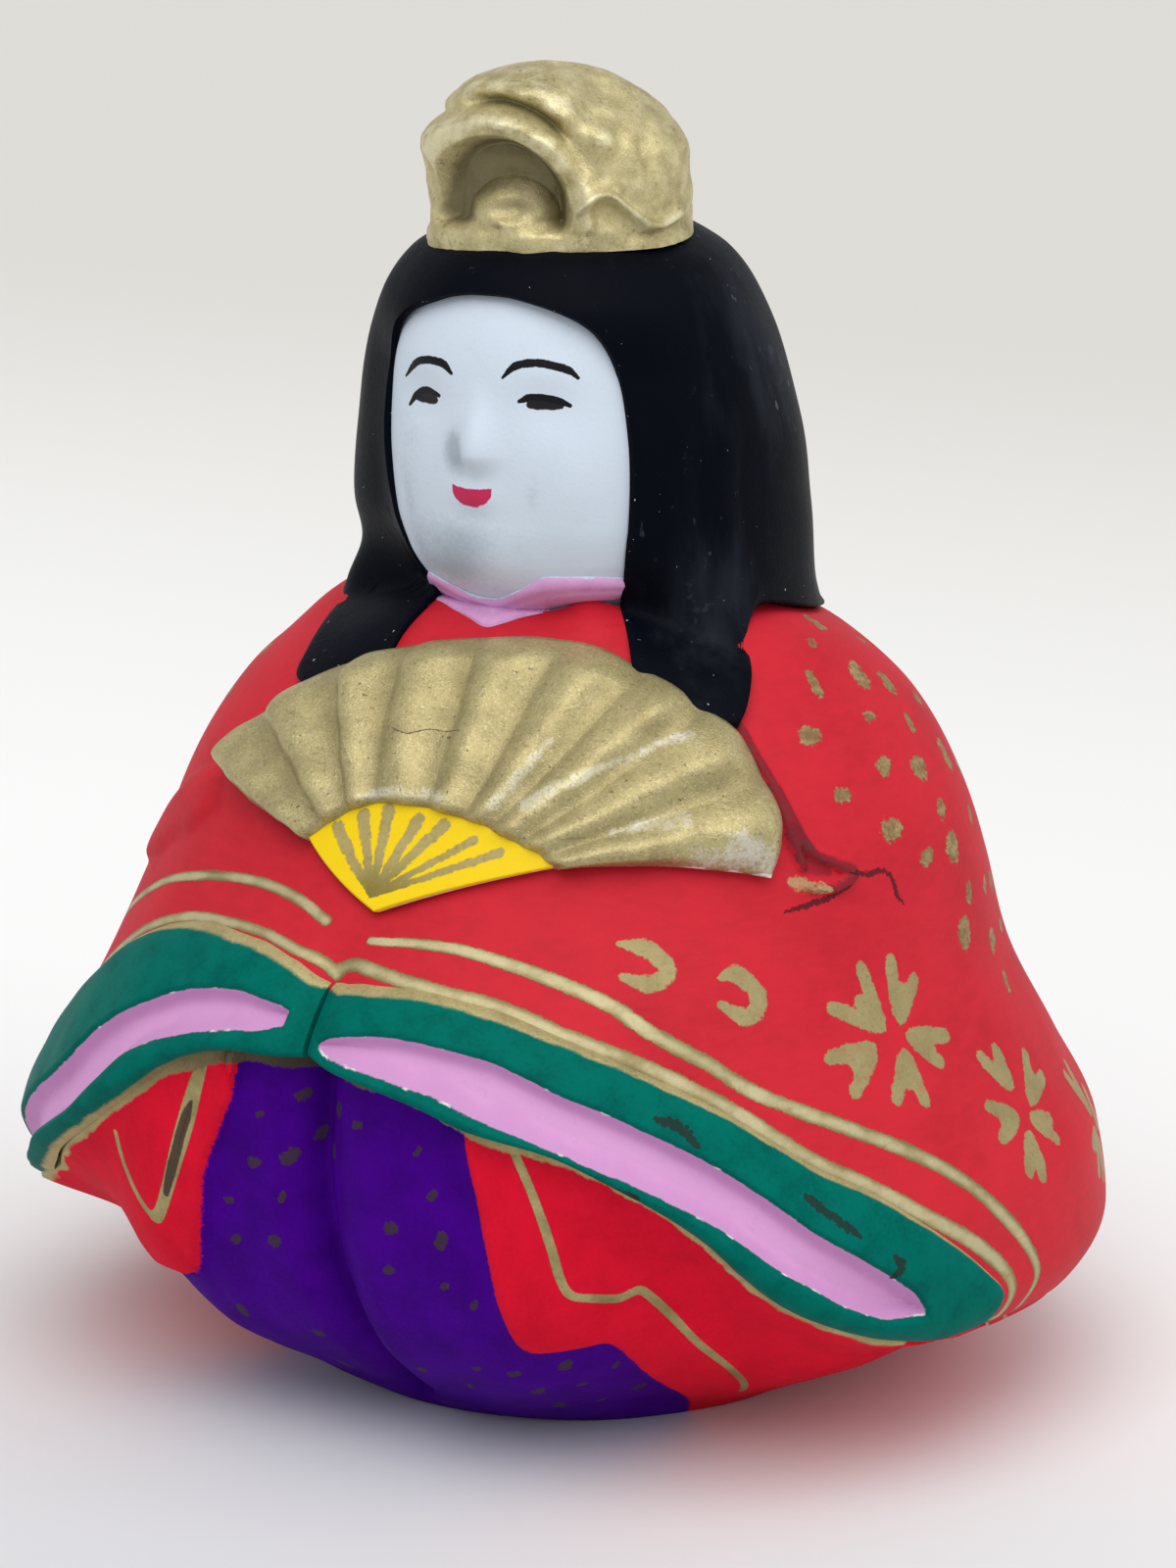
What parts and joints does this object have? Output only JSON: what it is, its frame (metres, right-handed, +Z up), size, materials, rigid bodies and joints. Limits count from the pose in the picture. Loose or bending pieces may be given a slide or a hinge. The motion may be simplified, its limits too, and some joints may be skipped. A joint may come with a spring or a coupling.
{
  "type": "hina doll",
  "caption": "Seated court lady figure of hollow clay with an open fan, long side locks and a crown, resting on a round foot.",
  "frame": {"origin": "centre of the foot's ring on the floor, under the neck", "axes": "+Z up through the neck, -Y out of the doll's face, +X towards the doll's own left hand"},
  "size_m": [0.0754, 0.0682, 0.09],
  "materials": {
    "bare_clay": "matte",
    "red": "matte",
    "purple": "matte",
    "green": "satin",
    "pink": "matte",
    "white": "satin",
    "black": "satin",
    "gold": "satin",
    "yellow": "matte"
  },
  "bodies": {
    "root": {"base_disc": "bare_clay", "under_robe": "red", "hakama": "purple", "sleeve_left": "red", "sleeve_right": "red", "robe_back": "red", "robe_chest": "red", "hem_left": "green", "hem_right": "green", "lining_left": "pink", "lining_right": "pink", "collar": "pink", "head": "white", "hair": "black", "crown": "gold", "fan_leaf": "gold", "fan_ribs": "yellow"}
  },
  "joints": []
}
